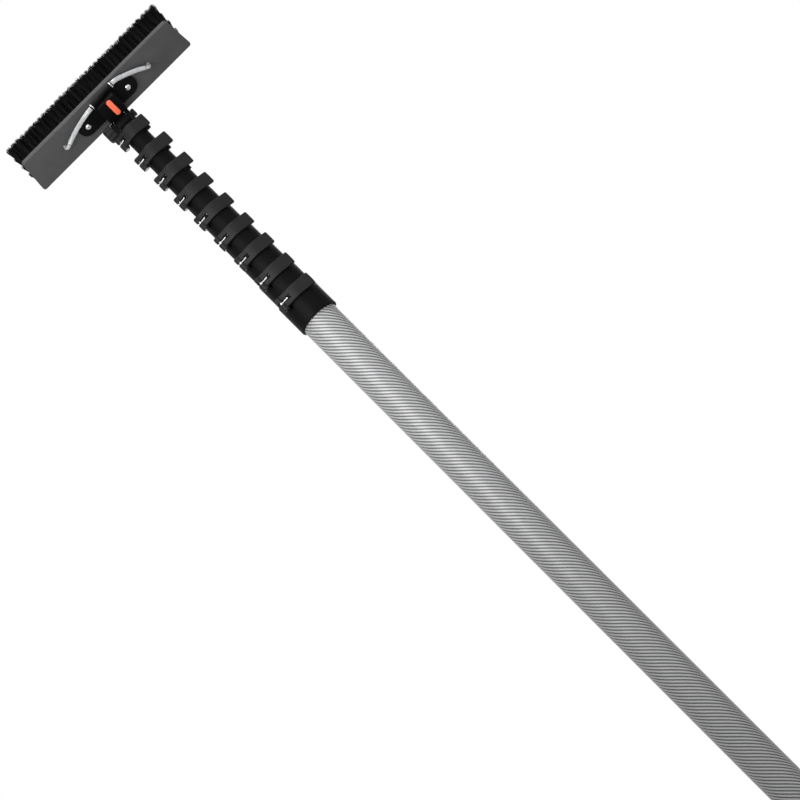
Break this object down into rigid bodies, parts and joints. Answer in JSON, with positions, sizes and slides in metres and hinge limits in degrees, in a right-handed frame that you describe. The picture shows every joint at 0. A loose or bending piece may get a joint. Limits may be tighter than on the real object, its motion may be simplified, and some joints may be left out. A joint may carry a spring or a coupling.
{
  "type": "telescopic window cleaning pole with brush",
  "caption": "Telescopic water-fed window cleaning pole: nested tubes locked by lever clamps, with a tilting brush, two water jets and a quick-release bracket at the tip.",
  "frame": {"origin": "middle of the butt end's flat face, on the pole's axis", "axes": "+Z along the pole towards the brush, +X along the brush to the side of the lever tabs, -Y towards the operator, bristles towards +Y and +Z"},
  "size_m": [0.272, 0.0858, 2.1438],
  "materials": {
    "carbon_silver": "silver-grey woven carbon composite under clear lacquer",
    "collar_black": "moulded black glass-filled plastic",
    "lever_black": "moulded dark grey-black plastic, slightly grained",
    "bright_steel": "bright turned stainless steel",
    "cap_rubber": "matt black rubber",
    "stock_grey": "fine-grained dark grey moulded plastic",
    "bristle_black": "black nylon bristle",
    "button_orange": "orange moulded plastic, satin",
    "clear_hose": "clear soft plastic hose, slightly cloudy"
  },
  "bodies": {
    "base": {"base_cap": "cap_rubber", "base_tube": "carbon_silver", "clamp_collar_1": "collar_black", "clamp_bolt_1": "bright_steel"},
    "section_2": {"section_tube_2": "carbon_silver", "clamp_collar_2": "collar_black", "clamp_bolt_2": "bright_steel"},
    "section_3": {"section_tube_3": "carbon_silver", "clamp_collar_3": "collar_black", "clamp_bolt_3": "bright_steel"},
    "section_4": {"section_tube_4": "carbon_silver", "clamp_collar_4": "collar_black", "clamp_bolt_4": "bright_steel"},
    "section_5": {"section_tube_5": "carbon_silver", "clamp_collar_5": "collar_black", "clamp_bolt_5": "bright_steel"},
    "section_6": {"section_tube_6": "carbon_silver", "clamp_collar_6": "collar_black", "clamp_bolt_6": "bright_steel"},
    "section_7": {"section_tube_7": "carbon_silver", "clamp_collar_7": "collar_black", "clamp_bolt_7": "bright_steel"},
    "section_8": {"section_tube_8": "carbon_silver", "clamp_collar_8": "collar_black", "clamp_bolt_8": "bright_steel"},
    "section_9": {"section_tube_9": "carbon_silver", "clamp_collar_9": "collar_black", "clamp_bolt_9": "bright_steel"},
    "tip": {"tip_tube": "carbon_silver", "neck": "collar_black", "pivot_bolt": "lever_black", "pivot_knob": "lever_black"},
    "lever_1": {"clamp_lever_1": "lever_black"},
    "lever_2": {"clamp_lever_2": "lever_black"},
    "lever_3": {"clamp_lever_3": "lever_black"},
    "lever_4": {"clamp_lever_4": "lever_black"},
    "lever_5": {"clamp_lever_5": "lever_black"},
    "lever_6": {"clamp_lever_6": "lever_black"},
    "lever_7": {"clamp_lever_7": "lever_black"},
    "lever_8": {"clamp_lever_8": "lever_black"},
    "lever_9": {"clamp_lever_9": "lever_black"},
    "head": {"swivel": "collar_black", "bracket": "collar_black", "bracket_screw_left": "bright_steel", "bracket_screw_right": "bright_steel", "button_spring": "bright_steel", "hose_tee": "collar_black", "hose_right": "clear_hose", "hose_left": "clear_hose", "jet_right": "clear_hose", "jet_left": "clear_hose", "brush_stock": "stock_grey", "bristle_row_1": "bristle_black", "bristle_row_2": "bristle_black", "bristle_row_3": "bristle_black", "bristle_row_4": "bristle_black"},
    "button": {"release_button": "button_orange"}
  },
  "joints": [
    {"name": "slide_2", "type": "slide", "parent": "base", "child": "section_2", "axis": [0, 0, 1], "range_m": [0, 1.45]},
    {"name": "slide_3", "type": "slide", "parent": "section_2", "child": "section_3", "axis": [0, 0, 1], "range_m": [0, 1.45]},
    {"name": "slide_4", "type": "slide", "parent": "section_3", "child": "section_4", "axis": [0, 0, 1], "range_m": [0, 1.45]},
    {"name": "slide_5", "type": "slide", "parent": "section_4", "child": "section_5", "axis": [0, 0, 1], "range_m": [0, 1.45]},
    {"name": "slide_6", "type": "slide", "parent": "section_5", "child": "section_6", "axis": [0, 0, 1], "range_m": [0, 1.45]},
    {"name": "slide_7", "type": "slide", "parent": "section_6", "child": "section_7", "axis": [0, 0, 1], "range_m": [0, 1.45]},
    {"name": "slide_8", "type": "slide", "parent": "section_7", "child": "section_8", "axis": [0, 0, 1], "range_m": [0, 1.45]},
    {"name": "slide_9", "type": "slide", "parent": "section_8", "child": "section_9", "axis": [0, 0, 1], "range_m": [0, 1.45]},
    {"name": "slide_tip", "type": "slide", "parent": "section_9", "child": "tip", "axis": [0, 0, 1], "range_m": [0, 1.45]},
    {"name": "lever_turn_1", "type": "hinge", "parent": "base", "child": "lever_1", "pos_m": [-0.021, -0.02924, 1.7205], "axis": [0, 0, -1], "range_deg": [0, 140]},
    {"name": "lever_turn_2", "type": "hinge", "parent": "section_2", "child": "lever_2", "pos_m": [-0.021, -0.02706, 1.7595], "axis": [0, 0, -1], "range_deg": [0, 140]},
    {"name": "lever_turn_3", "type": "hinge", "parent": "section_3", "child": "lever_3", "pos_m": [-0.021, -0.0248, 1.7985], "axis": [0, 0, -1], "range_deg": [0, 140]},
    {"name": "lever_turn_4", "type": "hinge", "parent": "section_4", "child": "lever_4", "pos_m": [-0.021, -0.02246, 1.8375], "axis": [0, 0, -1], "range_deg": [0, 140]},
    {"name": "lever_turn_5", "type": "hinge", "parent": "section_5", "child": "lever_5", "pos_m": [-0.021, -0.02, 1.8765], "axis": [0, 0, -1], "range_deg": [0, 140]},
    {"name": "lever_turn_6", "type": "hinge", "parent": "section_6", "child": "lever_6", "pos_m": [-0.021, -0.01737, 1.9155], "axis": [0, 0, -1], "range_deg": [0, 140]},
    {"name": "lever_turn_7", "type": "hinge", "parent": "section_7", "child": "lever_7", "pos_m": [-0.021, -0.01447, 1.9545], "axis": [0, 0, -1], "range_deg": [0, 140]},
    {"name": "lever_turn_8", "type": "hinge", "parent": "section_8", "child": "lever_8", "pos_m": [-0.021, -0.01109, 1.9935], "axis": [0, 0, -1], "range_deg": [0, 140]},
    {"name": "lever_turn_9", "type": "hinge", "parent": "section_9", "child": "lever_9", "pos_m": [-0.021, -0.00656, 2.0325], "axis": [0, 0, -1], "range_deg": [0, 140]},
    {"name": "head_tilt", "type": "hinge", "parent": "tip", "child": "head", "pos_m": [0, 0, 2.0535], "axis": [1, 0, 0], "range_deg": [-65, 35]},
    {"name": "button_press", "type": "slide", "parent": "head", "child": "button", "axis": [0, 0.6018, 0.7986], "range_m": [0, 0.002], "stiffness_N_per_m": 1500, "springref_m": -0.001, "deforming": ["button_spring"]}
  ]
}
